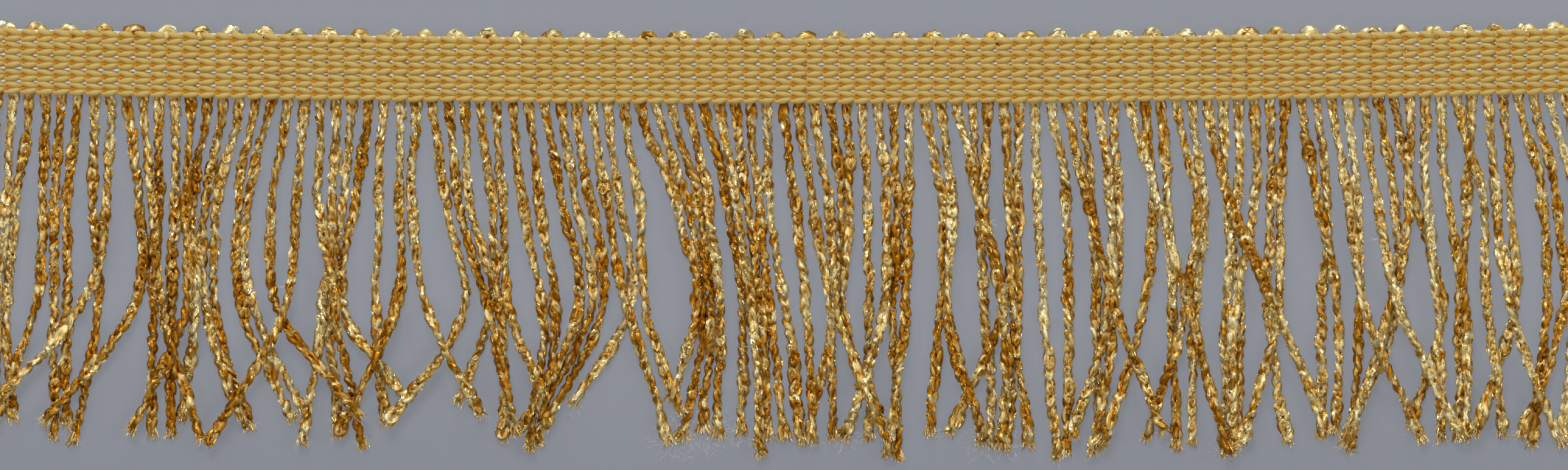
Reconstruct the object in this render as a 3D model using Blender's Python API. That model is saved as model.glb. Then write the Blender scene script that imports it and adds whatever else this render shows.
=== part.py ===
"""Cut length of chainette fringe lying flat: a knitted heading band above a row of hanging strands.

Metres, +Z up. The length runs along X, the strands run towards -Y, and the back lies at Z = 0.
"""
from collections import namedtuple

import bpy
import bmesh
import numpy as np

MM = 0.001

# Heading
STITCHES = 104            # stitches along the cut length, one strand to each
PITCH = 1.857 * MM        # mean length of a stitch
EASE = 0.0267             # share by which the stitches are longer at one end and shorter at the other
WALES = 5                 # chain-stitch ribs across the heading
WALE = 1.54 * MM          # width of one rib
SAG = 1.32 * MM           # how far the middle of the length lies below its two ends
BAND_FLOOR = 1.0 * MM     # thickness between two ribs
BAND_TOP = 2.0 * MM       # thickness at the crest of a rib
PART_GAP = 0.3 * MM       # gap between the band and the strip of the lowest rib
RIB_SHOULDERS = (0.22, 0.78)   # places of a rib's two shoulders, as shares of its width
SHOULDER = 0.85           # how far up from floor to crest a shoulder stands
STRIP_SHOULDERS = (0.28, 0.72)
STRIP_TOP = 0.93 * BAND_TOP    # height of the lowest rib's crest
BUMP_EVERY = 2            # stitches from one turn of the cord to the next along the top edge
TURNS = 4                 # turns of the cord in one section of the band
BUMP_RISE = 0.9 * MM      # how far a turn stands out of the top edge
BUMP_SPAN = 0.62          # share of its spacing that a turn fills
BUMP_THICK = 1.1 * MM
BUMP_POINTS = 6           # points round one turn
LEDGE = 0.12 * MM         # how far the ledge between two turns stands out of the top edge

# Strands
WIDTH = 0.9 * MM          # width of a flat chainette strand
THICK = 0.7 * MM          # its thickness
CLEAR = 0.1 * MM          # least gap between two strands
SEGMENTS = 11             # straight pieces along a strand
FINE = 8                  # points on each of them where it is tested against the others
MITRE = 1.06              # how much wider a strand is at its bends
ROOT_SLOPE = 0.5          # how readily a strand leans at its root
UPPER = 11.0 * MM         # depth of the upper level, where the strands begin to gather in locks
LOWER = 25.0 * MM         # depth of the lower level, below which the locks part and cross

# One row for each lock of neighbouring strands, left to right. The sway is how far the lock's
# middle has moved to the right at each level. The spread is the spacing of its strands there, as a
# share of their spacing at the root, and is below zero where they have crossed. Each strand then
# has its tip's drift from its root and its tip's depth. Sways, drifts and depths are in mm.
Lock = namedtuple("Lock", "sway_upper sway_lower spread_upper spread_lower tip_drifts tip_depths")
LOCKS = (
    Lock(-0.4, -1.2, 0.9, 0.8, (-1.0, -1.5, -2.0, -2.5), (40.0, 39.5, 40.0, 39.5)),
    Lock(-0.8, -2.0, 1.5, 1.8, (-2.0, -6.0), (38.0, 37.5)),
    Lock(-1.0, -1.2, 0.8, 0.8, (-1.0, -1.5), (40.0, 38.5)),
    Lock(-0.2, -1.6, 0.9, -1.1, (-2.5, -12.5), (40.5, 35.0)),
    Lock(1.4, 0.6, 1.0, 1.0, (-9.5,), (38.0,)),
    Lock(0.6, 0.8, 0.4, -0.6, (7.0, -1.0), (40.0, 39.5)),
    Lock(-0.2, -0.6, 0.7, 1.0, (-0.5, -7.0), (39.5, 39.0)),
    Lock(-2.0, -2.0, 0.8, 0.6, (-3.0, 2.0, 1.0), (37.5, 37.5, 38.5)),
    Lock(-2.4, -1.8, 0.6, 0.7, (4.5, 3.5), (37.5, 36.0)),
    Lock(-1.4, -1.6, 1.4, 0.2, (8.5, -11.0), (37.0, 40.0)),
    Lock(-0.2, 0.2, 0.9, -0.9, (5.0, -4.0), (40.5, 40.0)),
    Lock(-1.0, -2.8, 1.0, 1.0, (-1.5,), (38.0,)),
    Lock(-1.4, -2.6, 1.0, 1.0, (4.5,), (35.0,)),
    Lock(-0.4, -0.8, 1.3, 1.2, (0.0, -7.5), (37.5, 39.0)),
    Lock(0.4, 2.6, 2.1, 2.0, (7.5, -5.0), (36.5, 37.5)),
    Lock(0.8, 4.6, 0.7, 0.7, (8.0, 4.5), (38.5, 39.5)),
    Lock(1.0, 1.4, 0.8, 1.3, (-2.5, 5.5), (35.0, 34.0)),
    Lock(1.2, 3.4, 1.1, 0.8, (2.0, 1.0), (40.5, 40.0)),
    Lock(1.8, 3.4, 0.9, 0.7, (-3.0, -2.5, -4.0), (38.5, 36.0, 38.0)),
    Lock(1.4, 3.4, 0.9, -0.2, (9.0, -4.0), (39.5, 35.0)),
    Lock(1.8, 2.8, 1.0, 1.0, (6.5,), (36.0,)),
    Lock(3.2, 5.2, 0.7, 0.5, (3.5, 3.0, 3.5, 3.5), (34.5, 39.0, 38.0, 38.5)),
    Lock(2.8, 4.6, 1.0, 1.0, (4.5,), (38.5,)),
    Lock(1.4, 3.0, 0.7, 0.6, (5.0, 4.0, 4.0), (41.0, 39.0, 39.0)),
    Lock(0.8, 2.6, 1.6, 1.2, (4.0, 3.5), (39.5, 39.5)),
    Lock(1.6, 3.2, 1.0, 0.5, (4.0, 8.5), (39.0, 39.0)),
    Lock(1.0, 0.2, 0.5, 0.6, (-3.0, 4.0), (39.5, 37.0)),
    Lock(0.6, 0.8, 1.0, 1.0, (1.0,), (39.0,)),
    Lock(0.4, 0.0, 0.7, 0.7, (-4.0, 0.5, -2.5), (39.0, 41.5, 41.0)),
    Lock(1.6, 1.4, 0.7, 0.5, (0.5, 5.0), (38.5, 39.5)),
    Lock(2.6, 5.6, 1.0, 1.0, (5.5,), (40.0,)),
    Lock(0.7, 1.5, 1.0, 1.0, (2.5,), (40.0,)),
    Lock(-0.4, 1.3, 1.0, 1.0, (-4.5,), (38.5,)),
    Lock(0.2, 0.4, 0.5, 0.3, (3.0, -1.5), (40.0, 40.5)),
    Lock(1.0, 1.6, 1.9, 1.5, (2.5, 2.0), (41.5, 41.0)),
    Lock(1.8, 3.8, 0.3, -1.3, (11.5, 2.0), (38.5, 40.5)),
    Lock(1.0, 0.6, 0.5, 0.5, (-3.0, -2.5), (39.0, 41.0)),
    Lock(2.0, 3.4, -0.2, -3.0, (11.5, -5.0), (41.0, 40.0)),
    Lock(0.8, 1.4, 1.0, 1.0, (2.0,), (40.5,)),
    Lock(1.8, 0.6, 0.5, 0.8, (-3.5, 0.0), (39.5, 40.0)),
    Lock(1.4, 5.0, 0.0, -2.4, (14.0, 1.5), (38.5, 40.0)),
    Lock(0.0, -2.0, 1.3, 0.6, (-1.5, -2.5), (41.0, 41.0)),
    Lock(-0.2, -0.6, 0.6, 0.5, (2.0, -5.0), (40.0, 40.0)),
    Lock(1.6, 2.4, 0.6, -1.0, (4.0, 0.5), (39.0, 39.5)),
    Lock(1.4, 2.6, 0.6, -0.4, (10.5, 0.5), (40.0, 41.0)),
    Lock(1.6, 3.2, 1.1, -0.3, (11.5, -4.0), (39.5, 40.5)),
    Lock(1.0, 1.6, -0.2, -3.4, (2.0, -7.0), (38.5, 38.5)),
    Lock(0.4, 2.0, 1.3, 1.8, (2.0, 3.0), (40.0, 40.0)),
    Lock(1.2, 1.2, -0.8, -1.8, (5.5, -1.5), (39.5, 40.0)),
    Lock(1.0, 2.0, 0.9, 0.2, (8.5, -3.5), (40.5, 39.5)),
    Lock(2.6, 3.4, 0.9, 1.1, (1.5, -1.5), (41.0, 40.0)),
    Lock(1.6, 2.2, 0.6, 0.7, (1.5, 3.0, 2.0, 1.5), (41.0, 40.0, 39.5, 40.0)),
)

COLOURS = {"heading": (0.52, 0.33, 0.07), "fringe": (0.50, 0.27, 0.06)}
ROUGHNESS = {"heading": 0.6, "fringe": 0.4}
WELD = 0.0001 * MM        # points nearer than this are one point


def clear_scene():
    """Remove every object of the starting scene."""
    for thing in list(bpy.data.objects):
        bpy.data.objects.remove(thing, do_unlink=True)


def stitch_x(place):
    """Distance along the length of a place counted in stitches, measured from the middle."""
    share = place / STITCHES
    run = STITCHES * PITCH
    return run * (share + EASE * share * (1.0 - share)) - 0.5 * run


def sag_y(x):
    """Height of the heading's lower edge at x, from its lowest point in the middle."""
    half = 0.5 * STITCHES * PITCH
    return SAG * (x / half) ** 2


def make_object(name, points, faces):
    """Make one closed solid from points and faces, with its own material."""
    mesh = bpy.data.meshes.new(name)
    mesh.from_pydata([tuple(p) for p in points], [], faces)
    work = bmesh.new()
    work.from_mesh(mesh)
    bmesh.ops.remove_doubles(work, verts=work.verts, dist=WELD)
    bmesh.ops.recalc_face_normals(work, faces=work.faces)
    work.to_mesh(mesh)
    work.free()
    solid = bpy.data.objects.new(name, mesh)
    bpy.context.scene.collection.objects.link(solid)
    material = bpy.data.materials.new(name)
    material.use_nodes = True
    surface = material.node_tree.nodes["Principled BSDF"]
    surface.inputs["Base Color"].default_value = (*COLOURS[name], 1.0)
    surface.inputs["Roughness"].default_value = ROUGHNESS[name]
    solid.data.materials.append(material)
    return solid


def rib_profile(foot, ribs):
    """Points (y, z) over the face of a band of ribs, from its lower edge to its upper edge."""
    low = BAND_FLOOR
    rise = BAND_TOP - BAND_FLOOR
    near, far = RIB_SHOULDERS
    points = [(foot, 0.0), (foot, low)]
    for rib in range(ribs):
        base = foot + rib * WALE
        wide = WALE if rib < ribs - 1 else WALE - 0.5 * PART_GAP
        points.append((base + near * wide, low + SHOULDER * rise))
        points.append((base + 0.5 * wide, low + rise))
        points.append((base + far * wide, low + SHOULDER * rise))
        points.append((base + wide, low))
    return points


def build_heading():
    """Band of four ribs; its top edge carries the turns of the cord as a scalloped ledge."""
    foot = WALE + 0.5 * PART_GAP
    profile = rib_profile(foot, WALES - 1)
    brow = profile[-1][0]
    sections = STITCHES // (BUMP_EVERY * TURNS)
    marks = [stitch_x(k * BUMP_EVERY * TURNS) for k in range(sections + 1)]
    points, faces = [], []
    rows = len(profile)
    for x in marks:
        points += [(x, y + sag_y(x), z) for y, z in profile]
    for k in range(sections):
        for j in range(rows - 1):
            a = k * rows + j
            faces.append((a, a + 1, a + rows + 1, a + rows))

    # Outline of the ledge, with the turns of the cord in each section
    edge = []
    for k in range(sections):
        run = []
        for turn in range(TURNS):
            start = (k * TURNS + turn) * BUMP_EVERY
            for step in range(BUMP_POINTS + 1):
                share = step / BUMP_POINTS
                along = start + BUMP_EVERY * (0.5 + BUMP_SPAN * (share - 0.5))
                out = BUMP_RISE * np.sqrt(max(0.0, 1.0 - (2.0 * share - 1.0) ** 2))
                x = stitch_x(along)
                run.append((x, brow + LEDGE + out + sag_y(x)))
        edge.append(run)
    ends = [(x, brow + LEDGE + sag_y(x)) for x in marks]

    def add(x, y, z):
        points.append((x, y, z))
        return len(points) - 1

    end_low = [add(x, y, 0.0) for x, y in ends]
    end_high = [add(x, y, BUMP_THICK) for x, y in ends]
    for k in range(sections):
        low = [end_low[k]] + [add(x, y, 0.0) for x, y in edge[k]] + [end_low[k + 1]]
        high = [end_high[k]] + [add(x, y, BUMP_THICK) for x, y in edge[k]] + [end_high[k + 1]]
        for j in range(len(low) - 1):
            faces.append((low[j], low[j + 1], high[j + 1], high[j]))
        first, last = k * rows, (k + 1) * rows
        faces.append([first + rows - 1] + high + [last + rows - 1])
        faces.append([first] + low + [last])
    faces.append(list(range(rows)) + [end_high[0], end_low[0]])
    final = sections * rows
    faces.append(list(range(final, final + rows)) + [end_high[-1], end_low[-1]])
    return make_object("heading", points, faces)


def smooth_step(knots, values, slopes, place):
    """Value of a smooth curve through the values at the knots, read at one place."""
    piece = min(int(np.searchsorted(knots, place, side="right")) - 1, len(knots) - 2)
    span = knots[piece + 1] - knots[piece]
    t = (place - knots[piece]) / span
    return ((2 * t ** 3 - 3 * t ** 2 + 1) * values[piece]
            + (t ** 3 - 2 * t ** 2 + t) * span * slopes[piece]
            + (3 * t ** 2 - 2 * t ** 3) * values[piece + 1]
            + (t ** 3 - t ** 2) * span * slopes[piece + 1])


def lock_routes(lock, first):
    """Stations (x, y) from root to tip of each strand in a lock whose first strand is given."""
    count = len(lock.tip_depths)
    roots = [stitch_x(first + k + 0.5) for k in range(count)]
    middle = sum(roots) / count
    routes = []
    for k, root in enumerate(roots):
        from_middle = root - middle
        upper = lock.sway_upper * MM + (lock.spread_upper - 1.0) * from_middle
        lower = lock.sway_lower * MM + (lock.spread_lower - 1.0) * from_middle
        depths = np.array([0.0, UPPER, LOWER, lock.tip_depths[k] * MM])
        drifts = np.array([0.0, upper, lower, lock.tip_drifts[k] * MM])
        slopes = np.gradient(drifts, depths)
        slopes[0] *= ROOT_SLOPE
        steps = np.linspace(0.0, depths[-1], SEGMENTS + 1)
        xs = [root + smooth_step(depths, drifts, slopes, depth) for depth in steps]
        ys = sag_y(root) - steps
        routes.append(np.stack([xs, ys], axis=1))
    return routes


def strand_routes():
    """Stations of every strand, left to right."""
    routes = []
    for lock in LOCKS:
        routes += lock_routes(lock, len(routes))
    return routes


def drape(routes):
    """Height of the underside of every strand at each station.

    Those that stray least are laid first. A later one climbs over each strand it meets."""
    order = sorted(range(len(routes)), key=lambda n: abs(routes[n][-1, 0] - routes[n][0, 0]))
    shares = np.arange(SEGMENTS * FINE + 1) / FINE
    stations = np.arange(SEGMENTS + 1)
    laid, tops, heights = {}, {}, {}
    for number in order:
        path = np.stack([np.interp(shares, stations, routes[number][:, k]) for k in (0, 1)], axis=1)
        need = np.zeros(len(path))
        for other, under in laid.items():
            apart = np.linalg.norm(path[:, None, :] - under[None, :, :], axis=2)
            meets = apart < WIDTH * MITRE + CLEAR
            need = np.maximum(need, np.where(meets, tops[other] + CLEAR, 0.0).max(axis=1))
        level = [need[max(0, (k - 1) * FINE):(k + 1) * FINE + 1].max() for k in stations]
        laid[number] = path
        tops[number] = np.interp(shares, stations, level) + THICK
        heights[number] = level
    return heights


def build_fringe():
    """Strip of the lowest rib with every strand growing out of its lower wall."""
    routes = strand_routes()
    heights = drape(routes)
    brow = WALE - 0.5 * PART_GAP
    near, far = STRIP_SHOULDERS
    face = [(0.0, 0.0), (0.0, THICK), (near * brow, STRIP_TOP), (far * brow, STRIP_TOP),
            (brow, BAND_FLOOR), (brow, 0.0)]
    columns = [stitch_x(0)]
    for route in routes:
        columns += [route[0, 0] - 0.5 * WIDTH, route[0, 0] + 0.5 * WIDTH]
    columns.append(stitch_x(STITCHES))
    points, faces = [], []
    rows = len(face)
    for number, x in enumerate(columns):
        middle = routes[min(max((number - 1) // 2, 0), STITCHES - 1)][0, 0]
        points += [(x, y + sag_y(middle if y == 0.0 else x), z) for y, z in face]
    for k in range(len(columns) - 1):
        at_root = k % 2 == 1
        for j in range(rows):
            a, b = k * rows + j, k * rows + (j + 1) % rows
            if at_root and j == 0:
                continue
            faces.append((a, b, b + rows, a + rows))
    faces.append(list(range(rows)))
    faces.append([(len(columns) - 1) * rows + j for j in range(rows)])

    for number, route in enumerate(routes):
        left = (1 + 2 * number) * rows
        ring = [left, left + rows, left + rows + 1, left + 1]
        for k in range(1, SEGMENTS + 1):
            ahead = route[min(k + 1, SEGMENTS)] - route[k - 1]
            ahead = ahead / np.linalg.norm(ahead)
            side = np.array((-ahead[1], ahead[0])) * 0.5 * WIDTH
            low = heights[number][k]
            a, b = route[k] - side, route[k] + side
            first = len(points)
            points += [(*a, low), (*b, low), (*b, low + THICK), (*a, low + THICK)]
            fresh = [first, first + 1, first + 2, first + 3]
            for j in range(4):
                faces.append((ring[j], ring[(j + 1) % 4], fresh[(j + 1) % 4], fresh[j]))
            ring = fresh
        faces.append(ring)
    return make_object("fringe", points, faces)


def settle(parts):
    """Move everything so that the middle of its bounds stands over the origin."""
    corners = np.array([v.co[:] for part in parts for v in part.data.vertices])
    middle = 0.5 * (corners.min(axis=0) + corners.max(axis=0))
    for part in parts:
        for vertex in part.data.vertices:
            vertex.co.x -= middle[0]
            vertex.co.y -= middle[1]


clear_scene()
settle([build_heading(), build_fringe()])
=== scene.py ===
"""Looks of a cut length of gold chainette fringe lying flat.

A knitted heading of five chain-stitch wales in matte yarn holds cords of foil chainette. Each cord
hangs from the heading twice and turns over its top edge in between. Metres, +Z up.
"""
import math
import random

import bmesh
import bpy
import numpy as np
from mathutils import Matrix, Vector


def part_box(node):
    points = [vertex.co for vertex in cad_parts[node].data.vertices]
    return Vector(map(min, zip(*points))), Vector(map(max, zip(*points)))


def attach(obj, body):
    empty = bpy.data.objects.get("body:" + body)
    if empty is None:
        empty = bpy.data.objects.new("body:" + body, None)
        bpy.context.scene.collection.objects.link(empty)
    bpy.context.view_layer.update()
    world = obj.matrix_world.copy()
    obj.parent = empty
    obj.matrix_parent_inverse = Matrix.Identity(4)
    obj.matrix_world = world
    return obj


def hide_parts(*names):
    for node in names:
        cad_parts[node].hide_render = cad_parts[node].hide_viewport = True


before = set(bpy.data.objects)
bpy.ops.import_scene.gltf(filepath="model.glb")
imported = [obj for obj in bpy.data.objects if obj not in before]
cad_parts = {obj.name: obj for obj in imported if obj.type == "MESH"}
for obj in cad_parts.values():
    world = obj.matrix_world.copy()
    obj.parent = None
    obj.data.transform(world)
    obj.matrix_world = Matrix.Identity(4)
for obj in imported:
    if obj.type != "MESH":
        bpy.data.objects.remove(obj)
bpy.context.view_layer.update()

MM = 0.001

# Heading, as in the part
STITCHES = 104
EASE = 0.0267              # share by which the stitches are longer at the left end
WALES = 5
WALE = 1.54 * MM           # width of one wale
SAG = 1.32 * MM            # how far the middle of the heading lies below its ends
STRIP_TOP = 1.39 * MM      # upper edge of the lowest wale's strip above the heading's lower edge

band_low, band_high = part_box("heading")
fringe_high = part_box("fringe")[1]
RUN = band_high.x - band_low.x
MIDDLE = 0.5 * (band_low.x + band_high.x)
BASE = fringe_high.y - STRIP_TOP - SAG
PITCH = RUN / STITCHES

# Camera, the view that it takes in, and light
VIEW_MIDDLE = (MIDDLE + 0.5 * MM, BASE - 15.36 * MM)
VIEW_WIDTH = 184.0 * MM
CAMERA_HEIGHT = 0.9
FLOOR_SIDE = 4.0
SKY_COLOUR = (0.97, 0.98, 1.0, 1.0)
SKY_STRENGTH = 0.20
# Lamps: name, place, side and power
LAMPS = (("key", (-0.10, 0.45, 0.66), 0.28, 2.6), ("side", (0.60, 0.10, 0.50), 0.20, 0.9),
         ("other_side", (-0.60, -0.05, 0.55), 0.20, 0.9), ("front", (0.15, -0.60, 0.60), 0.25, 0.9),
         ("edge", (0.0, 0.85, 0.16), 0.30, 3.0))


def stitch_x(place):
    """Distance along the heading of a place counted in stitches from its left end."""
    share = place / STITCHES
    return MIDDLE + RUN * (share + EASE * share * (1.0 - share) - 0.5)


def edge_y(x):
    """Lower edge of the heading at x."""
    return BASE + SAG * ((x - MIDDLE) / (0.5 * RUN)) ** 2


# Handling of objects

def pick(thing):
    """Select one object alone and make it active."""
    bpy.ops.object.select_all(action="DESELECT")
    thing.select_set(True)
    bpy.context.view_layer.objects.active = thing


def apply_modifiers(thing):
    """Apply every modifier of an object."""
    pick(thing)
    for name in [m.name for m in thing.modifiers]:
        bpy.ops.object.modifier_apply(modifier=name)


def take_away(thing):
    """Remove a helper object."""
    bpy.data.objects.remove(thing, do_unlink=True)


def read_points(thing):
    """Vertex places of a mesh object, one row each."""
    flat = np.empty(len(thing.data.vertices) * 3, np.float32)
    thing.data.vertices.foreach_get("co", flat)
    return flat.reshape(-1, 3).astype(float)


def write_points(thing, points):
    """Put the vertices of a mesh object at new places."""
    thing.data.vertices.foreach_set("co", points.astype(np.float32).ravel())
    thing.data.update()


def store(thing, name, values):
    """Keep one number or one vector for each vertex as an attribute of the mesh."""
    values = np.asarray(values, np.float32)
    kind, field = ("FLOAT", "value") if values.ndim == 1 else ("FLOAT_VECTOR", "vector")
    attribute = thing.data.attributes.new(name, kind, "POINT")
    attribute.data.foreach_set(field, values.ravel())


def join(things, name):
    """Join objects into one piece."""
    pick(things[0])
    for thing in things[1:]:
        thing.select_set(True)
    if len(things) > 1:
        bpy.ops.object.join()
    things[0].name = name
    things[0].data.name = name
    return things[0]


def smooth_shade(thing):
    """Shade a piece smooth all over."""
    pick(thing)
    bpy.ops.object.shade_smooth()


def dress(thing, material, slot, *nodes):
    """Finish a piece: its material, its slot and the solids that it stands for. The slot is not
    used.
    """
    thing.data.materials.clear()
    thing.data.materials.append(material)
    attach(thing, "root")
    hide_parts(*nodes)
    return thing


def wander(rng, count, step):
    """Smooth random series between about -1 and 1 that turns every few entries."""
    knots = int(count / step) + 3
    values = np.array([rng.uniform(-1.0, 1.0) for _ in range(knots)])
    places = np.arange(count) / step + rng.random()
    low = places.astype(int)
    share = places - low
    share = share * share * (3.0 - 2.0 * share)
    return values[low] * (1.0 - share) + values[low + 1] * share


def toss(rng):
    """Three random numbers between -1 and 1."""
    return np.array([rng.uniform(-1, 1) for _ in range(3)])


# Materials

# Tones: the place on a ramp and the colour there, from shaded to pale
FOIL_TONES = ((0.38, (0.50, 0.20, 0.008)), (0.53, (0.73, 0.455, 0.10)),
              (0.70, (0.90, 0.72, 0.33)), (0.96, (0.98, 0.87, 0.53)))
# The yarn's darker, more orange stops show mostly where the painted shade in the openings falls
YARN_TONES = ((0.24, (0.58, 0.215, 0.006)), (0.50, (0.55, 0.26, 0.016)),
              (0.75, (0.53, 0.330, 0.052)), (1.0, (0.60, 0.425, 0.120)))
FIBRE_TONES = ((0.3, (0.70, 0.66, 0.58)), (0.7, (0.92, 0.91, 0.88)))
# The inlay is a guessed pale thread; its white, bluish and golden spots are painted glints and
# painted light seen through the gaps
INLAY_TONES_AND_GLINTS = ((0.40, (0.50, 0.30, 0.07)), (0.48, (0.80, 0.72, 0.56)),
               (0.54, (0.86, 0.86, 0.88)), (0.64, (0.70, 0.78, 0.92)))
CARD_TONES = ((0.0, (0.086, 0.091, 0.103)), (1.0, (0.101, 0.106, 0.120)))

# Patterns: how many of their parts go to a metre along, across and through a thread
FACETS = (650.0, 2600.0, 2600.0)
GLINTS = (2200.0, 3800.0, 3800.0)
FOIL_THREADS = (900.0, 9000.0, 9000.0)
YARN_STREAKS = (900.0, 5200.0, 5200.0)
FOIL_PATCHES = 820.0
YARN_CLOUDS = 320.0
FIBRE_SPOTS = 900.0
CARD_CLOUDS = 14.0
CARD_GRAIN = 1600.0

# How far the cells and the foil's threads are turned round +Z, and how much cells flow together
CELL_TURN = (0.0, 0.0, 0.30)
THREAD_TURN = (0.0, 0.0, 0.25)
FACET_FLOW = 0.7
GLINT_FLOW = 0.2

# Foil: what each pattern adds to its tone, how far its facets lean, and how rough they are
FACET_TONE = 0.40
PATCH_TONE = 1.05
THREAD_TONE = 0.45
TONE_SHIFT = 0.375
FACET_LEAN = 0.85
GLINT_LEAN = 2.2
GLINT_FROM = 0.76          # cells with a higher number glint
GLINT_POLISH = 0.22
FOIL_ROUGHNESS = (0.34, 0.54)
FOIL_RELIEF = 0.14 * MM

# Yarn: what each pattern adds to its tone, with the painted shade and painted glow in the stitches'
# openings
STREAK_TONE = 0.30
CLOUD_TONE = 0.30
PAINTED_HOLE_SHADE = 0.70
PAINTED_HOLE_GLOW = 0.30
YARN_ROUGHNESS = 0.72
YARN_SHEEN = 0.35
SHEEN_ROUGHNESS = 0.3
SHEEN_TINT = (1.0, 0.93, 0.75, 1.0)
YARN_RELIEF = 0.06 * MM

# Pale filaments
FIBRE_ROUGHNESS = 0.35
INLAY_ROUGHNESS = 0.30
INLAY_RELIEF = 0.12 * MM

# Card: its painted shade towards the front, between two places on Y
CARD_PAINTED_SHADE = 0.85
CARD_FRONT = (-31.0 * MM, -8.0 * MM)
CARD_UNEVEN = 0.15
# The card glows with its own colour: painted light that keeps shadows on it faint
CARD_PAINTED_GLOW = 1.85
CARD_ROUGHNESS = 0.9
CARD_RELIEF = 0.1 * MM


class Finish:
    """A node material with a Principled shader, and short ways to add nodes."""

    def __init__(self, name):
        self.material = bpy.data.materials.new(name)
        self.material.use_nodes = True
        self.tree = self.material.node_tree
        self.surface = self.tree.nodes["Principled BSDF"]

    def node(self, kind, **settings):
        made = self.tree.nodes.new(kind)
        for key, value in settings.items():
            setattr(made, key, value)
        return made

    def link(self, source, target):
        self.tree.links.new(source, target)

    def put(self, name, value):
        """Give a setting of the surface one value, or what another node puts out."""
        if isinstance(value, bpy.types.NodeSocket):
            self.link(value, self.surface.inputs[name])
        else:
            self.surface.inputs[name].default_value = value

    def attribute(self, name):
        return self.node("ShaderNodeAttribute", attribute_name=name)

    def stretched(self, source, scale, turn=(0.0, 0.0, 0.0)):
        mapping = self.node("ShaderNodeMapping", vector_type="TEXTURE")
        mapping.inputs["Scale"].default_value = [1.0 / value for value in scale]
        mapping.inputs["Rotation"].default_value = turn
        self.link(source, mapping.inputs["Vector"])
        return mapping.outputs["Vector"]

    def noise(self, source, scale, detail=2.0, roughness=0.5):
        made = self.node("ShaderNodeTexNoise")
        made.inputs["Scale"].default_value = scale
        made.inputs["Detail"].default_value = detail
        made.inputs["Roughness"].default_value = roughness
        self.link(source, made.inputs["Vector"])
        return made.outputs["Fac"]

    def math(self, operation, first, second):
        made = self.node("ShaderNodeMath", operation=operation)
        for socket, value in zip(made.inputs, (first, second)):
            if isinstance(value, (int, float)):
                socket.default_value = value
            else:
                self.link(value, socket)
        return made.outputs[0]

    def vector(self, operation, first, second=None):
        made = self.node("ShaderNodeVectorMath", operation=operation)
        self.link(first, made.inputs[0])
        if second is not None:
            self.link(second, made.inputs[1])
        return made.outputs[0]

    def cells(self, source, scale, smoothness):
        """Random colour of stretched cells, whole and split in its three parts."""
        made = self.node("ShaderNodeTexVoronoi", feature="SMOOTH_F1")
        made.inputs["Scale"].default_value = 1.0
        made.inputs["Smoothness"].default_value = smoothness
        self.link(self.stretched(source, scale, CELL_TURN), made.inputs["Vector"])
        split = self.node("ShaderNodeSeparateColor")
        self.link(made.outputs["Color"], split.inputs["Color"])
        return made.outputs["Color"], split

    def leaning(self, source, amount):
        """Random direction of a cell from its colour."""
        middle = self.node("ShaderNodeVectorMath", operation="SUBTRACT")
        middle.inputs[1].default_value = (0.5, 0.5, 0.5)
        self.link(source, middle.inputs[0])
        lean = self.node("ShaderNodeVectorMath", operation="SCALE")
        lean.inputs["Scale"].default_value = amount
        self.link(middle.outputs["Vector"], lean.inputs[0])
        return lean.outputs["Vector"]

    def ramp(self, source, stops):
        made = self.node("ShaderNodeValToRGB")
        places = made.color_ramp.elements
        while len(places) < len(stops):
            places.new(0.5)
        for element, (place, colour) in zip(places, stops):
            element.position = place
            element.color = (*colour, 1.0)
        self.link(source, made.inputs["Fac"])
        return made.outputs["Color"]

    def scaled(self, source, low, high, start=0.0, end=1.0):
        made = self.node("ShaderNodeMapRange")
        made.inputs["From Min"].default_value = start
        made.inputs["From Max"].default_value = end
        made.inputs["To Min"].default_value = low
        made.inputs["To Max"].default_value = high
        self.link(source, made.inputs["Value"])
        return made.outputs["Result"]

    def bump(self, height, strength, distance):
        made = self.node("ShaderNodeBump")
        made.inputs["Strength"].default_value = strength
        made.inputs["Distance"].default_value = distance
        self.link(height, made.inputs["Height"])
        return made.outputs["Normal"]


def foil_finish():
    """Gold foil wrapped round a thread: small facets that each catch the light differently."""
    finish = Finish("gold_foil_thread")
    rest = finish.attribute("rest").outputs["Vector"]
    tint = finish.attribute("tint").outputs["Fac"]
    facet, split = finish.cells(rest, FACETS, FACET_FLOW)
    glint, glint_split = finish.cells(rest, GLINTS, GLINT_FLOW)
    patches = finish.noise(rest, FOIL_PATCHES, 1.0, 0.5)
    threads = finish.noise(finish.stretched(rest, FOIL_THREADS, THREAD_TURN), 1.0, 2.0, 0.6)
    tone = finish.math("ADD", finish.math("MULTIPLY", split.outputs["Red"], FACET_TONE),
                       finish.math("MULTIPLY", patches, PATCH_TONE))
    tone = finish.math("ADD", tone, finish.math("MULTIPLY", threads, THREAD_TONE))
    tone = finish.math("ADD", tone, finish.math("SUBTRACT", tint, TONE_SHIFT))
    finish.put("Base Color", finish.ramp(tone, FOIL_TONES))
    finish.put("Metallic", 1.0)
    # Each facet is tilted its own way from the surface that it lies on, and a few small ones more.
    sparse = finish.math("GREATER_THAN", glint_split.outputs["Blue"], GLINT_FROM)
    dull = finish.scaled(split.outputs["Green"], *FOIL_ROUGHNESS)
    dull = finish.math("SUBTRACT", dull, finish.math("MULTIPLY", sparse, GLINT_POLISH))
    finish.put("Roughness", dull)
    total = finish.vector("ADD", finish.bump(threads, 1.0, FOIL_RELIEF),
                          finish.leaning(facet, FACET_LEAN))
    extra = finish.vector("MULTIPLY", finish.leaning(glint, GLINT_LEAN), sparse)
    total = finish.vector("ADD", total, extra)
    finish.put("Normal", finish.vector("NORMALIZE", total))
    return finish.material


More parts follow.
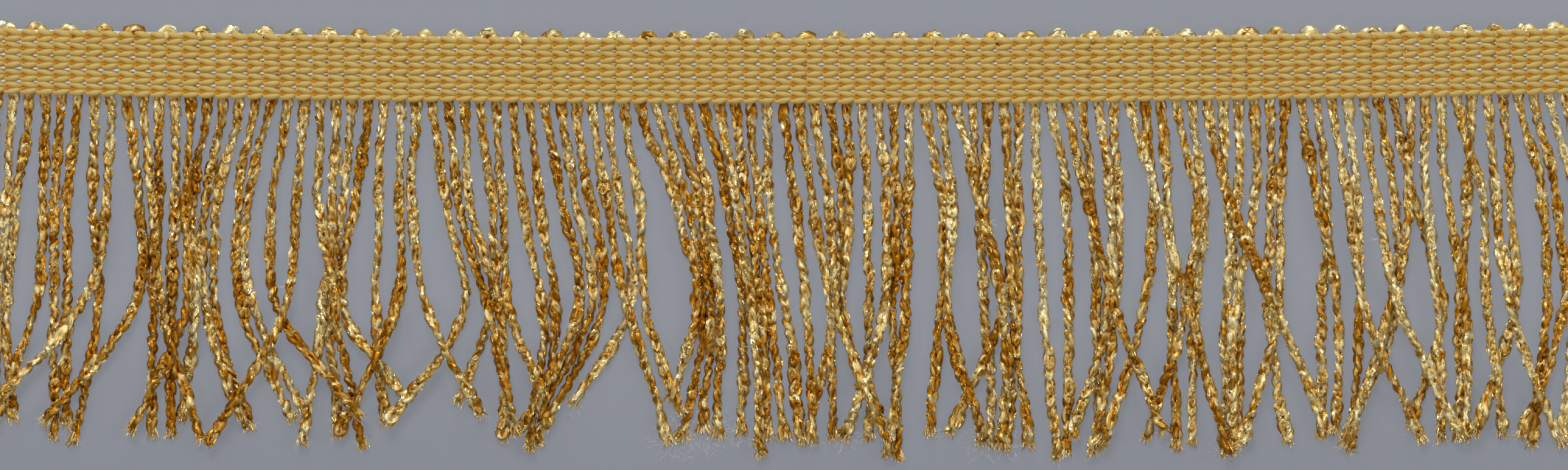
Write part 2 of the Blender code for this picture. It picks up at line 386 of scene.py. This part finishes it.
def yarn_finish():
    """Matte mustard yarn of fine filaments, with painted shade that makes it darker orange where it
    dips into a stitch, and a painted glow there.
    """
    finish = Finish("mustard_yarn")
    rest = finish.attribute("rest").outputs["Vector"]
    depth = finish.attribute("depth").outputs["Fac"]
    streaks = finish.noise(finish.stretched(rest, YARN_STREAKS), 1.0, 3.0, 0.6)
    clouds = finish.noise(rest, YARN_CLOUDS, 2.0)
    light = finish.math("ADD", finish.math("MULTIPLY", streaks, STREAK_TONE),
                        finish.math("MULTIPLY", clouds, CLOUD_TONE))
    # Painted shade: yarn that lies deep in a stitch is darker and more orange.
    light = finish.math("ADD", light, finish.math("MULTIPLY", depth, PAINTED_HOLE_SHADE))
    colour = finish.ramp(light, YARN_TONES)
    finish.put("Base Color", colour)
    finish.put("Roughness", YARN_ROUGHNESS)
    finish.put("Sheen Weight", YARN_SHEEN)
    finish.put("Sheen Roughness", SHEEN_ROUGHNESS)
    finish.put("Sheen Tint", SHEEN_TINT)
    finish.put("Emission Color", colour)
    # Painted glow where the yarn lies deep in a stitch.
    finish.put("Emission Strength", finish.scaled(depth, PAINTED_HOLE_GLOW, 0.0))
    finish.put("Normal", finish.bump(streaks, 0.5, YARN_RELIEF))
    return finish.material


def fibre_finish():
    """Pale filaments that stand out of the cut ends."""
    finish = Finish("pale_fibre")
    rest = finish.attribute("rest").outputs["Vector"]
    finish.put("Base Color", finish.ramp(finish.noise(rest, FIBRE_SPOTS), FIBRE_TONES))
    finish.put("Roughness", FIBRE_ROUGHNESS)
    return finish.material


def inlay_finish():
    """Pale glossy filaments between the wales, with painted glints: white, bluish and golden spots
    for light seen through the gaps and foil glinting there.
    """
    finish = Finish("pale_inlay_with_glints")
    rest = finish.attribute("rest").outputs["Vector"]
    spots = finish.noise(rest, FIBRE_SPOTS, 2.0, 0.6)
    finish.put("Base Color", finish.ramp(spots, INLAY_TONES_AND_GLINTS))
    finish.put("Roughness", INLAY_ROUGHNESS)
    finish.put("Normal", finish.bump(spots, 0.8, INLAY_RELIEF))
    return finish.material


def floor_finish():
    """Plain pale blue-grey card, with painted shade that makes it a little darker towards the
    front, glowing with its own colour as painted light.
    """
    finish = Finish("pale_card")
    place = finish.node("ShaderNodeTexCoord").outputs["Object"]
    split = finish.node("ShaderNodeSeparateXYZ")
    finish.link(place, split.inputs["Vector"])
    # Painted shade: darker towards the front.
    far = finish.scaled(split.outputs["Y"], 0.0, CARD_PAINTED_SHADE, *CARD_FRONT)
    clouds = finish.noise(place, CARD_CLOUDS, 3.0)
    light = finish.math("ADD", far, finish.math("MULTIPLY", clouds, CARD_UNEVEN))
    colour = finish.ramp(light, CARD_TONES)
    finish.put("Base Color", colour)
    # Painted light: the card glows so shadows on it stay faint.
    finish.put("Emission Color", colour)
    finish.put("Emission Strength", CARD_PAINTED_GLOW)
    finish.put("Roughness", CARD_ROUGHNESS)
    finish.put("Normal", finish.bump(finish.noise(place, CARD_GRAIN, 2.0), 0.1, CARD_RELIEF))
    return finish.material


# Loops

MERGE = 1e-6               # points of a mesh closer than this are one
SLIP = 0.1                 # how far a loop may slip, as a share of its unevenness and pitch
PATTERN_APART = 40.0 * MM  # how far apart two loops' places in the materials' patterns may be


def model_loop(name, half, yarn, sides, steps, stretch=(1.0, 1.0, 1.0)):
    """One closed loop of yarn: half its outline from base to head, and the other half mirrored.

    A row of the half outline is the distance in mm along, across and up, and the yarn's fullness.
    The loop has so many sides round the yarn, and so many steps between two points of its outline.
    """
    outline = list(half) + [(x, -y, z, f) for x, y, z, f in reversed(half[1:-1])]
    bpy.ops.object.select_all(action="DESELECT")
    bpy.ops.curve.primitive_bezier_circle_add(radius=MM)
    loop = bpy.context.object
    bpy.ops.object.mode_set(mode="EDIT")
    bpy.ops.curve.select_all(action="SELECT")
    bpy.ops.curve.subdivide(number_cuts=1)
    bpy.ops.object.mode_set(mode="OBJECT")
    spline = loop.data.splines[0]
    for point, (x, y, z, fullness) in zip(spline.bezier_points, outline):
        point.handle_left_type = "AUTO"
        point.handle_right_type = "AUTO"
        point.co = (x * MM, y * MM, z * MM)
        point.radius = fullness
    loop.data.resolution_u = steps
    loop.data.bevel_depth = yarn
    loop.data.bevel_resolution = (sides - 4) // 2
    loop.data.use_fill_caps = False
    bpy.ops.object.convert(target="MESH")
    loop = bpy.context.object
    bpy.ops.object.mode_set(mode="EDIT")
    bpy.ops.mesh.select_all(action="SELECT")
    bpy.ops.mesh.remove_doubles(threshold=MERGE)
    bpy.ops.transform.resize(value=stretch)
    bpy.ops.mesh.normals_make_consistent(inside=False)
    bpy.ops.object.mode_set(mode="OBJECT")
    loop.name = name
    return loop


def chain(loop, name, count, pitch, rng, unevenness):
    """Row of loops along +X, each one drawn through the last and a little unlike it."""
    pick(loop)
    bpy.ops.object.duplicate()
    row = bpy.context.object
    row.name = name
    array = row.modifiers.new("row", "ARRAY")
    array.use_relative_offset = False
    array.use_constant_offset = True
    array.constant_offset_displace = (pitch, 0.0, 0.0)
    array.count = count
    apply_modifiers(row)
    points = read_points(row)
    rest = points.copy()
    each = len(points) // count
    for k in range(count):
        part = slice(k * each, (k + 1) * each)
        middle = points[part].mean(axis=0)
        grow = 1.0 + unevenness * toss(rng)
        lean = unevenness * rng.uniform(-1.0, 1.0)
        local = (points[part] - middle) * grow
        local[:, 1] += lean * local[:, 0]
        shift = SLIP * unevenness * pitch * toss(rng)
        points[part] = local + middle + shift
        rest[part] += toss(rng) * PATTERN_APART
    write_points(row, points)
    store(row, "rest", rest)
    return row


# Cords of the fringe

# Loop of foil thread: distance in mm along, across and up, and the thread's fullness
FOIL_HALF = ((0.0, 0.0, -0.16, 0.70), (0.50, 0.12, 0.10, 0.92), (1.15, 0.27, 0.20, 1.05),
             (1.80, 0.32, -0.02, 0.95), (2.45, 0.0, -0.24, 0.75))
FOIL_PITCH = 1.5 * MM
FOIL_YARN = 0.37 * MM
FOIL_FLAT = (1.0, 1.0, 0.97)
FOIL_UNEVEN = 0.15

STATIONS = 26              # points along one hanging strand
RING_APART = 1.5 * MM      # two rings of a strand's solid lie further apart than this
RING_CORNERS = 4           # corners of one ring
ROOT_HEIGHT = 0.35 * MM
ROOT_RUN = 3.0             # points from the root over which its kinks begin
KINK = 0.17 * MM           # how far it strays aside, and how many points go to one kink
KINK_RUN = 1.8
LIFT = 0.04 * MM           # how far it strays upwards
LIFT_RUN = 2.5

BEHIND = 0.58 * MM         # height of a cord's middle where it lies behind the wales
BEHIND_AT = (0.16, 0.4, 0.64, 0.80, 0.91)   # shares of the heading's width where it is led
TUCK = 0.10 * MM           # how much lower it lies above this share, close under the turn
TUCK_FROM = 0.9
TURN_HEIGHT = 0.74 * MM    # height of its middle where it turns over the top edge
TURN_CROWN = 0.10 * MM     # how much higher it is in the middle of the turn
TURN_RISE = 0.06 * MM      # how far its middle stands above the top edge there
TURN_DROP = 0.22 * MM      # how far the two sides of the turn lie below the top edge
TURN_WIDTH = 0.50 * MM     # half the width of the turn, between the middles of its two sides
TURN_WIDTHS = (0.8, 1.25)  # narrowest and widest turn, as shares of that width
TURN_SKEW = 0.25 * MM      # how far a turn's peak may lie aside, and be higher or lower
TURN_UNEVEN = 0.16 * MM
TURN_LEAN = 0.8            # how much its sides lean together as they rise

TWIST = (0.25, 0.8)        # least and most that a cord is twisted from point to point, in radians
ROLL = 0.9                 # how far it is rolled at random, and how many points go to one roll
ROLL_RUN = 4.0
TURN_ROLL = 0.5            # how far it is rolled at the turn
FULL = 1.07                # fullness of a hanging cord
FULL_UNEVEN = 0.14         # how much it varies, and how many points go to one change
FULL_RUN = 2.5
FULL_BEHIND = -0.07        # what is added to it behind the wales
FULL_TURN = 0.36           # at the turn
FULL_TIP = 0.22            # and at the tip
FREE_SHARE = 1.0 / 6.0     # share of a strand over which it comes free of the heading
TIP_SHARE = 1.0 / 14.0     # share of a strand over which its tip opens

SHADES = 60                # places along a cord that have their own tint
SHADE_WAVES = ((0.13, 15.0), (0.10, 6.0), (0.08, 2.0))   # strength and run of each wave of tint
TIP_SHADE = 0.10           # how much darker the foil is at the tips than at the turn
PAINTED_TURN_HIGHLIGHT = 0.15           # painted highlight on the turn: how much paler it is there, and how many places that takes in
TURN_PLACES = 4
# Strands along the length, and how pale each one's foil is
PALE_STRANDS = (0, 30, 60, 80, STITCHES)
PALE_TINTS = (-0.04, -0.01, 0.0, 0.04, 0.07)
IN_A_PIECE = 26            # strands joined in one piece


def strand_rings():
    """Middles of the rings of each strand's solid, from its root down to its tip."""
    work = bmesh.new()
    work.from_mesh(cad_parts["fringe"].data)
    bmesh.ops.remove_doubles(work, verts=work.verts, dist=MERGE)
    above = [v for v in work.verts if v.co.y > edge_y(v.co.x) - 0.5 * MM]
    bmesh.ops.delete(work, geom=above, context="VERTS")
    waiting = set(work.verts)
    strands = []
    while waiting:
        open_ends = [waiting.pop()]
        island = []
        while open_ends:
            vertex = open_ends.pop()
            island.append(vertex.co[:])
            for edge in vertex.link_edges:
                other = edge.other_vert(vertex)
                if other in waiting:
                    waiting.remove(other)
                    open_ends.append(other)
        island = np.array(sorted(island, key=lambda place: -place[1]))
        steps = np.flatnonzero(-np.diff(island[:, 1]) > RING_APART) + 1
        rings = [ring for ring in np.split(island, steps) if len(ring) == RING_CORNERS]
        strands.append(np.array([ring.mean(axis=0) for ring in rings]))
    work.free()
    strands.sort(key=lambda rings: rings[0, 0])
    return strands


def smooth_through(knots, count):
    """Points spread evenly along a smooth curve through the knots."""
    steps = np.linalg.norm(np.diff(knots, axis=0), axis=1)
    places = np.concatenate([[0.0], np.cumsum(steps)])
    slopes = np.gradient(knots, places, axis=0)
    fine = np.linspace(0.0, places[-1], count)
    low = np.clip(np.searchsorted(places, fine, side="right") - 1, 0, len(knots) - 2)
    span = steps[low][:, None]
    t = (fine - places[low])[:, None] / span
    return ((2 * t ** 3 - 3 * t ** 2 + 1) * knots[low]
            + (t ** 3 - 2 * t ** 2 + t) * span * slopes[low]
            + (3 * t ** 2 - 2 * t ** 3) * knots[low + 1]
            + (t ** 3 - t ** 2) * span * slopes[low + 1])


def strand_path(number, rings, rng):
    """Middle line of one hanging strand from its root to its tip, with its small kinks."""
    x = stitch_x(number + 0.5)
    root = np.array([[x, edge_y(x), ROOT_HEIGHT]])
    path = smooth_through(np.vstack([root, rings]), STATIONS)
    free = np.clip(np.arange(STATIONS) / ROOT_RUN, 0.0, 1.0)
    path[:, 0] += KINK * wander(rng, STATIONS, KINK_RUN) * free
    path[:, 2] += LIFT * (1.0 + wander(rng, STATIONS, LIFT_RUN)) * free
    return path


def turn_path(number, rng):
    """Middle line of a cord from the root of one strand over the top edge to the next root."""
    left, right = stitch_x(number + 0.5), stitch_x(number + 1.5)
    half = 0.5 * (right - left)
    middle = 0.5 * (left + right)
    top = edge_y(middle) + WALES * WALE
    rows = []
    for share in BEHIND_AT:
        lean = TURN_LEAN * half * max(0.0, share - 0.5)
        height = BEHIND - TUCK if share > TUCK_FROM else BEHIND
        rows.append((left + lean, top - (1.0 - share) * WALES * WALE, height))
    back = [(left + right - x, y, z) for x, y, z in reversed(rows)]
    wide = TURN_WIDTH * rng.uniform(*TURN_WIDTHS)
    peak = middle + TURN_SKEW * rng.uniform(-1.0, 1.0)
    rise = TURN_RISE + TURN_UNEVEN * rng.uniform(-1.0, 1.0)
    rows.append((middle - wide, top - TURN_DROP, TURN_HEIGHT))
    rows.append((peak, top + rise, TURN_HEIGHT + TURN_CROWN))
    rows.append((middle + wide, top - TURN_DROP, TURN_HEIGHT))
    return np.array(rows + back)


def cord_curve(path, tilts, fullness):
    """Guide curve through a cord's points."""
    data = bpy.data.curves.new("guide", "CURVE")
    data.dimensions = "3D"
    data.twist_mode = "Z_UP"
    data.resolution_u = 4
    data.use_radius = True
    spline = data.splines.new("BEZIER")
    spline.bezier_points.add(len(path) - 1)
    for point, place, tilt, full in zip(spline.bezier_points, path, tilts, fullness):
        point.co = place
        point.handle_left_type = "AUTO"
        point.handle_right_type = "AUTO"
        point.tilt = tilt
        point.radius = full
    guide = bpy.data.objects.new("guide", data)
    bpy.context.scene.collection.objects.link(guide)
    return guide


def model_cord(number, first, second, loop, rng):
    """One cord: up from a tip, over the top edge and down to the next tip."""
    turn = turn_path(number, rng)
    path = np.vstack([first[::-1], turn, second])
    count = len(path)
    hang = np.concatenate([np.linspace(1.0, 0.0, STATIONS), np.zeros(len(turn)),
                           np.linspace(0.0, 1.0, STATIONS)])
    free = np.clip(hang / FREE_SHARE, 0.0, 1.0)
    twist = rng.uniform(*TWIST) * rng.choice((-1.0, 1.0)) * (STATIONS - 1)
    side = np.where(np.arange(count) < count // 2, -1.0, 1.0)
    tilts = ROLL * wander(rng, count, ROLL_RUN) * free + twist * hang * side
    fullness = FULL + FULL_UNEVEN * wander(rng, count, FULL_RUN) * free + FULL_BEHIND * (1.0 - free)
    fullness += FULL_TIP * np.clip((hang - 1.0) / TIP_SHARE + 1.0, 0.0, 1.0)
    over = STATIONS + len(turn) // 2
    fullness[over - 1:over + 2] += FULL_TURN
    tilts[over - 1:over + 2] += TURN_ROLL * rng.uniform(-1.0, 1.0)
    guide = cord_curve(path, tilts, fullness)
    length = guide.data.splines[0].calc_length()
    room = length - FOIL_HALF[-1][0] * MM
    links = round(room / FOIL_PITCH)
    cord = chain(loop, "cord", links + 1, room / links, rng, FOIL_UNEVEN)
    along = read_points(cord)[:, 0] / length
    store(cord, "tint", np.interp(along * (SHADES - 1), np.arange(SHADES), cord_tints(number, rng)))
    bend = cord.modifiers.new("lie", "CURVE")
    bend.object = guide
    bend.deform_axis = "POS_X"
    apply_modifiers(cord)
    take_away(guide)
    points = read_points(cord)
    points[:, 2] = np.maximum(points[:, 2], 0.0)
    write_points(cord, points)
    return cord


def cord_tints(number, rng):
    """Tint of the foil along a cord: a painted highlight makes it palest on the turn, and it is
    paler towards the right of the length.
    """
    tints = np.full(SHADES, np.interp(number, PALE_STRANDS, PALE_TINTS))
    for strength, run in SHADE_WAVES:
        tints += strength * wander(rng, SHADES, run)
    tints -= TIP_SHADE * (np.abs(np.linspace(-1.0, 1.0, SHADES)) - 0.5)
    first = (SHADES - TURN_PLACES) // 2
    # Painted highlight where the cord turns over the top edge.
    tints[first:first + TURN_PLACES] += PAINTED_TURN_HIGHLIGHT
    return tints


# Cut ends and loose fibres

SHRED_LENGTH = 1.5 * MM
SHRED_WIDTH = 0.11 * MM
SHRED_BODY = 0.05 * MM
SHRED_CURL = 0.22 * MM     # how far its end curls up
SHRED_TAPER = 0.55         # share of its width that it loses towards its end
SHRED_SIZES = (0.7, 1.05)
SHRED_WIDTHS = (0.7, 1.5)
SHRED_BACK = (0.6, 1.3)    # how far behind the tip it starts, in mm
SHRED_ASIDE = 0.42 * MM    # how far aside of the strand's middle it starts
SHRED_FAN = 0.22           # how far the outer ones turn aside
SHRED_TINTS = (-0.05, 0.25)
SHREDS = 32                # torn foil ends at an ordinary tip

FIBRE_LENGTH = 1.1 * MM
FIBRE_YARN = 0.014 * MM
FIBRE_SIZES = (0.25, 0.85)
FIBRE_REACH = 0.8          # how far round a tip the fibres lie, in mm
FIBRES = 6                 # loose fibres at an ordinary tip

# What is added where a tip is frayed
MORE_SHREDS = 5
MORE_FAN = 0.12
MORE_SIZE = 0.15
MORE_FIBRES = 80
MORE_REACH = 1.3
# Strands with a frayed tip, and how much it is frayed
FRAYED = {39: 1.0, 40: 0.5, 43: 1.6, 44: 1.6, 45: 1.4, 46: 0.5, 57: 0.8, 61: 1.5, 62: 0.7, 80: 0.6}
# Single fibres beside the strands: the nearest strand, the depth below the heading in mm and the
# distance to the right in mm.
STRAYS = ((53, 4.6, -0.9), (62, 13.5, 0.9), (60, 13.0, 1.0), (35, 9.0, 0.8), (21, 22.0, -1.0),
          (74, 7.0, 0.9), (88, 16.0, -0.9), (12, 12.0, 0.9), (97, 27.0, 0.8), (57, 24.0, 0.9))


def model_shred():
    """One torn end of foil, along +X."""
    bpy.ops.object.select_all(action="DESELECT")
    bpy.ops.mesh.primitive_grid_add(x_subdivisions=2, y_subdivisions=1, size=1.0,
                                    location=(0.5 * SHRED_LENGTH, 0.0, 0.0))
    shred = bpy.context.object
    shred.scale = (SHRED_LENGTH, SHRED_WIDTH, 1.0)
    bpy.ops.object.transform_apply(location=True, rotation=True, scale=True)
    points = read_points(shred)
    share = points[:, 0] / SHRED_LENGTH
    points[:, 1] *= 1.0 - SHRED_TAPER * share ** 3
    points[:, 2] = SHRED_CURL * share ** 2
    write_points(shred, points)
    body = shred.modifiers.new("body", "SOLIDIFY")
    body.thickness = SHRED_BODY
    body.offset = 0.0
    apply_modifiers(shred)
    return shred


def model_fibre():
    """One fine curved fibre, along +X."""
    bpy.ops.object.select_all(action="DESELECT")
    bpy.ops.curve.primitive_bezier_curve_add()
    fibre = bpy.context.object
    start, end = fibre.data.splines[0].bezier_points
    start.co, end.co = (0.0, 0.0, 0.0), (FIBRE_LENGTH, 0.0, 0.0)
    start.handle_right = (0.35 * FIBRE_LENGTH, 0.30 * FIBRE_LENGTH, 0.1 * FIBRE_LENGTH)
    end.handle_left = (0.75 * FIBRE_LENGTH, 0.35 * FIBRE_LENGTH, 0.0)
    fibre.data.resolution_u = 6
    fibre.data.bevel_depth = FIBRE_YARN
    fibre.data.bevel_resolution = 0
    fibre.data.use_fill_caps = True
    bpy.ops.object.convert(target="MESH")
    return bpy.context.object


def copies(model, name, places):
    """One piece made of copies of a small model, each set in place by a matrix."""
    points = read_points(model)
    faces = [tuple(face.vertices) for face in model.data.polygons]
    every, all_faces, rest = [], [], []
    for number, matrix in enumerate(places):
        turn = np.array(matrix)
        every.append(points @ turn[:3, :3].T + turn[:3, 3])
        rest.append(points + 3.0 * MM * number)
        all_faces += [tuple(k + number * len(points) for k in face) for face in faces]
    every = np.concatenate(every)
    every[:, 2] = np.maximum(every[:, 2], 0.01 * MM)
    mesh = bpy.data.meshes.new(name)
    mesh.from_pydata(every.tolist(), [], all_faces)
    piece = bpy.data.objects.new(name, mesh)
    bpy.context.scene.collection.objects.link(piece)
    store(piece, "rest", np.concatenate(rest))
    return piece


def pointing(place, turn, rise, roll, size):
    """Matrix that sets a small model at a place, turned about the vertical and raised."""
    return (Matrix.Translation(place) @ Matrix.Rotation(turn, 4, "Z")
            @ Matrix.Rotation(-rise, 4, "Y") @ Matrix.Rotation(roll, 4, "X")
            @ Matrix.Diagonal((*size, 1.0)))


def frayed_places(paths, rng):
    """Places of the torn foil ends round every tip."""
    places = []
    for number, path in enumerate(paths):
        ahead = path[-1] - path[-3]
        heading = math.atan2(ahead[1], ahead[0])
        extra = FRAYED.get(number, 0.0)
        for _ in range(SHREDS + int(MORE_SHREDS * extra)):
            across = rng.uniform(-1.0, 1.0)
            fan = SHRED_FAN + MORE_FAN * extra
            turn = heading + across * fan + rng.uniform(-0.10, 0.10)
            side = across * SHRED_ASIDE
            back = rng.uniform(*SHRED_BACK) * MM
            place = (path[-1][0] - math.sin(heading) * side - math.cos(heading) * back,
                     path[-1][1] + math.cos(heading) * side - math.sin(heading) * back,
                     path[-1][2] + rng.uniform(-0.2, 0.2) * MM)
            size = rng.uniform(*SHRED_SIZES) + MORE_SIZE * extra
            places.append(pointing(place, turn, rng.uniform(-0.25, 0.25), rng.uniform(-1.2, 1.2),
                                   (size, rng.uniform(*SHRED_WIDTHS), 1.0)))
    return places


def fibre_places(paths, rng):
    """Places of the loose fibres: a few at every tip, clouds at the frayed ones, and strays."""
    places = []
    for number, path in enumerate(paths):
        extra = FRAYED.get(number, 0.0)
        for _ in range(FIBRES + int(MORE_FIBRES * extra)):
            angle = rng.uniform(0.0, 2.0 * math.pi)
            reach = rng.random() * (FIBRE_REACH + MORE_REACH * extra) * MM
            place = (path[-1][0] + reach * math.cos(angle), path[-1][1] + reach * math.sin(angle),
                     path[-1][2] + rng.uniform(-0.3, 0.3) * MM)
            size = rng.uniform(*FIBRE_SIZES)
            places.append(pointing(place, angle + rng.uniform(-0.9, 0.9), rng.uniform(-0.4, 0.4),
                                   rng.uniform(-3.1, 3.1), (size, size, size)))
    for number, depth, aside in STRAYS:
        path = paths[number]
        nearest = path[np.argmin(np.abs(edge_y(path[:, 0]) - path[:, 1] - depth * MM))]
        for _ in range(2):
            place = (nearest[0] + 0.6 * aside * MM, nearest[1], nearest[2])
            turn = (0.0 if aside > 0 else math.pi) + rng.uniform(-0.6, 0.6)
            places.append(pointing(place, turn, 0.1, rng.uniform(-1.5, 1.5), (0.8, 1.2, 1.0)))
    return places


# Wales of the heading

# Loop of yarn: distance in mm along, across and up, and the yarn's fullness
STITCH_HALF = ((-0.25, 0.0, 0.60, 0.78), (0.46, 0.26, 1.38, 1.04), (1.00, 0.39, 1.54, 1.24),
               (1.68, 0.54, 1.40, 0.78), (2.26, 0.0, 0.86, 0.66))
STITCH_YARN = 0.34 * MM
STITCH_UNEVEN = 0.06
WALE_MIDDLES = (0.77, 2.28, 3.88, 5.43, 6.93)   # mm above the heading's lower edge
STITCH_START = 1.05        # place of a loop's base, in stitches right of its hole
HOLE_HEIGHT = 0.95 * MM    # height below which a stitch's yarn has the full painted shade and glow
HOLE_DEPTH = 0.7 * MM      # and how far above that they fade out
FLOAT_HEIGHT = 0.17 * MM   # yarn along the back, behind the cords
FLOAT_YARN = 0.16 * MM
CORE_HEIGHT = 0.90 * MM    # yarn inside a wale, seen through the openings of its stitches, with the full painted shade and glow
CORE_YARN = 0.27 * MM
INLAY_HEIGHT = 1.06 * MM   # pale thread laid in between two wales, over the cords
INLAY_YARN = 0.21 * MM
RIM_HIGHLIGHT_MIDDLE = 7.45         # mm above the lower edge, of the pale thread along the upper edge, which shows at the notches as a painted rim highlight
THREAD_SIDES = 6
THREAD_WAVE = 0.02 * MM    # how far a straight thread waves up and down at every stitch


def lay_on_heading(thing, above):
    """Bend a straight row onto its line in the heading, so far above the lower edge."""
    points = read_points(thing)
    xs = stitch_x(points[:, 0] / PITCH)
    points[:, 1] += edge_y(xs) + above
    points[:, 0] = xs
    write_points(thing, points)


def trim_ends(thing):
    """Cut a row square at both ends of the length."""
    pick(thing)
    for place, outwards in ((0, -1.0), (STITCHES, 1.0)):
        bpy.ops.object.mode_set(mode="EDIT")
        bpy.ops.mesh.select_all(action="SELECT")
        bpy.ops.mesh.bisect(plane_co=(stitch_x(place), 0.0, 0.0), plane_no=(outwards, 0.0, 0.0),
                            use_fill=True, clear_outer=True, threshold=1e-7)
        bpy.ops.object.mode_set(mode="OBJECT")


def model_thread(yarn, height):
    """One straight thread as long as the heading, with a slight wave at every stitch."""
    bpy.ops.object.select_all(action="DESELECT")
    bpy.ops.mesh.primitive_cylinder_add(vertices=THREAD_SIDES, radius=yarn, depth=1.0,
                                        rotation=(0.0, math.pi / 2, 0.0))
    thread = bpy.context.object
    bpy.ops.object.transform_apply(location=True, rotation=True, scale=True)
    bpy.ops.object.mode_set(mode="EDIT")
    bpy.ops.mesh.select_mode(type="EDGE")
    bpy.ops.mesh.select_all(action="DESELECT")
    bpy.ops.object.mode_set(mode="OBJECT")
    for edge in thread.data.edges:
        a, b = (thread.data.vertices[k].co for k in edge.vertices)
        edge.select = abs(a.x - b.x) > 0.5
    bpy.ops.object.mode_set(mode="EDIT")
    bpy.ops.mesh.subdivide(number_cuts=STITCHES // 2 - 1)
    bpy.ops.mesh.subdivide(number_cuts=1)
    bpy.ops.mesh.subdivide(number_cuts=1)
    bpy.ops.mesh.select_mode(type="VERT")
    bpy.ops.object.mode_set(mode="OBJECT")
    points = read_points(thread)
    places = (points[:, 0] + 0.5) * STITCHES
    points[:, 0] = places * PITCH
    points[:, 2] += height + THREAD_WAVE * np.cos(2.0 * math.pi * places)
    write_points(thread, points)
    store(thread, "rest", points)
    return thread


def model_inlay():
    """The pale threads laid in between the wales, and the one along the upper edge that shows as a
    painted rim highlight.
    """
    threads = []
    middles = [0.5 * (below + above) for below, above in zip(WALE_MIDDLES, WALE_MIDDLES[1:])]
    for middle in (*middles, RIM_HIGHLIGHT_MIDDLE):
        thread = model_thread(INLAY_YARN, INLAY_HEIGHT)
        lay_on_heading(thread, middle * MM)
        threads.append(thread)
    return join(threads, "inlay")


def model_wale(wale, loop, rng):
    """One wale: a row of chain stitches and the yarn that runs behind the cords."""
    row = chain(loop, "stitches", STITCHES + 3, PITCH, rng, STITCH_UNEVEN)
    pick(row)
    bpy.ops.object.mode_set(mode="EDIT")
    bpy.ops.mesh.select_all(action="SELECT")
    bpy.ops.transform.rotate(value=math.pi, orient_axis="Z", center_override=(0.0, 0.0, 0.0))
    bpy.ops.transform.translate(value=((STITCHES + 1 + STITCH_START) * PITCH, 0.0, 0.0))
    bpy.ops.object.mode_set(mode="OBJECT")
    # Painted shade and glow: the lower a stitch's yarn lies, the darker orange it is and the more
    # it glows.
    height = read_points(row)[:, 2]
    store(row, "depth", np.clip((height - HOLE_HEIGHT) / HOLE_DEPTH, 0.0, 1.0))

    back = model_thread(FLOAT_YARN, FLOAT_HEIGHT)
    # Half the painted shade and glow on the yarn along the back.
    store(back, "depth", np.full(len(back.data.vertices), 0.5))
    core = model_thread(CORE_YARN, CORE_HEIGHT)
    # The full painted shade and glow on the yarn inside the wale.
    store(core, "depth", np.zeros(len(core.data.vertices)))
    for thing in (row, back, core):
        lay_on_heading(thing, WALE_MIDDLES[wale] * MM)
    trim_ends(row)
    return join([row, back, core], f"wale_{wale + 1}")


# Camera, floor and light

def set_stage():
    """Camera straight above, a pale floor and soft light."""
    data = bpy.data.cameras.new("camera")
    camera = bpy.data.objects.new("camera", data)
    bpy.context.scene.collection.objects.link(camera)
    camera.location = (*VIEW_MIDDLE, CAMERA_HEIGHT)
    data.lens = data.sensor_width * CAMERA_HEIGHT / VIEW_WIDTH
    bpy.context.scene.camera = camera

    bpy.ops.object.select_all(action="DESELECT")
    bpy.ops.mesh.primitive_plane_add(size=FLOOR_SIDE, location=(0.0, 0.0, 0.0))
    floor = bpy.context.object
    floor.name = "floor"
    floor.data.materials.append(floor_finish())

    world = bpy.data.worlds.new("studio")
    world.use_nodes = True
    sky = world.node_tree.nodes["Background"]
    sky.inputs["Color"].default_value = SKY_COLOUR
    sky.inputs["Strength"].default_value = SKY_STRENGTH
    bpy.context.scene.world = world

    for name, place, size, power in LAMPS:
        lamp = bpy.data.lights.new(name, "AREA")
        lamp.size = size
        lamp.energy = power
        thing = bpy.data.objects.new(name, lamp)
        thing.location = place
        thing.rotation_euler = Vector(place).to_track_quat("Z", "Y").to_euler()
        bpy.context.scene.collection.objects.link(thing)
    bpy.context.scene.view_settings.view_transform = "Standard"


# Starts of the random draws: a number of its own for each wale, strand and cord, and for the rest
WALE_DRAWS = 100
STRAND_DRAWS = 500
CORD_DRAWS = 1000
SHRED_DRAWS = 71
FIBRE_DRAWS = 72
SHRED_TINT_DRAWS = 73


def build():
    """Make every piece and hide the solids that it stands for."""
    foil, yarn = foil_finish(), yarn_finish()
    stitch = model_loop("stitch", STITCH_HALF, STITCH_YARN, 6, 1)
    for wale in range(WALES):
        piece = model_wale(wale, stitch, random.Random(WALE_DRAWS + wale))
        smooth_shade(piece)
        dress(piece, yarn, "heading", "fringe" if wale == 0 else "heading")
    take_away(stitch)
    inlay = model_inlay()
    smooth_shade(inlay)
    dress(inlay, inlay_finish(), "heading", "heading")

    loop = model_loop("foil_loop", FOIL_HALF, FOIL_YARN, 4, 2, FOIL_FLAT)
    paths = [strand_path(number, rings, random.Random(STRAND_DRAWS + number))
             for number, rings in enumerate(strand_rings())]
    for first in range(0, STITCHES, IN_A_PIECE):
        cords = [model_cord(n, paths[n], paths[n + 1], loop, random.Random(CORD_DRAWS + n))
                 for n in range(first, min(first + IN_A_PIECE, STITCHES), 2)]
        piece = join(cords, f"cords_{first // IN_A_PIECE + 1}")
        smooth_shade(piece)
        dress(piece, foil, "fringe", "fringe", "heading")
    take_away(loop)

    shred = model_shred()
    places = frayed_places(paths, random.Random(SHRED_DRAWS))
    ends = copies(shred, "frayed_ends", places)
    rng = random.Random(SHRED_TINT_DRAWS)
    tints = [rng.uniform(*SHRED_TINTS) for _ in places]
    store(ends, "tint", np.repeat(tints, len(shred.data.vertices)))
    dress(ends, foil, "fringe", "fringe")
    take_away(shred)

    fibre = model_fibre()
    fibres = copies(fibre, "loose_fibres", fibre_places(paths, random.Random(FIBRE_DRAWS)))
    dress(fibres, fibre_finish(), "fringe", "fringe")
    take_away(fibre)


set_stage()
build()
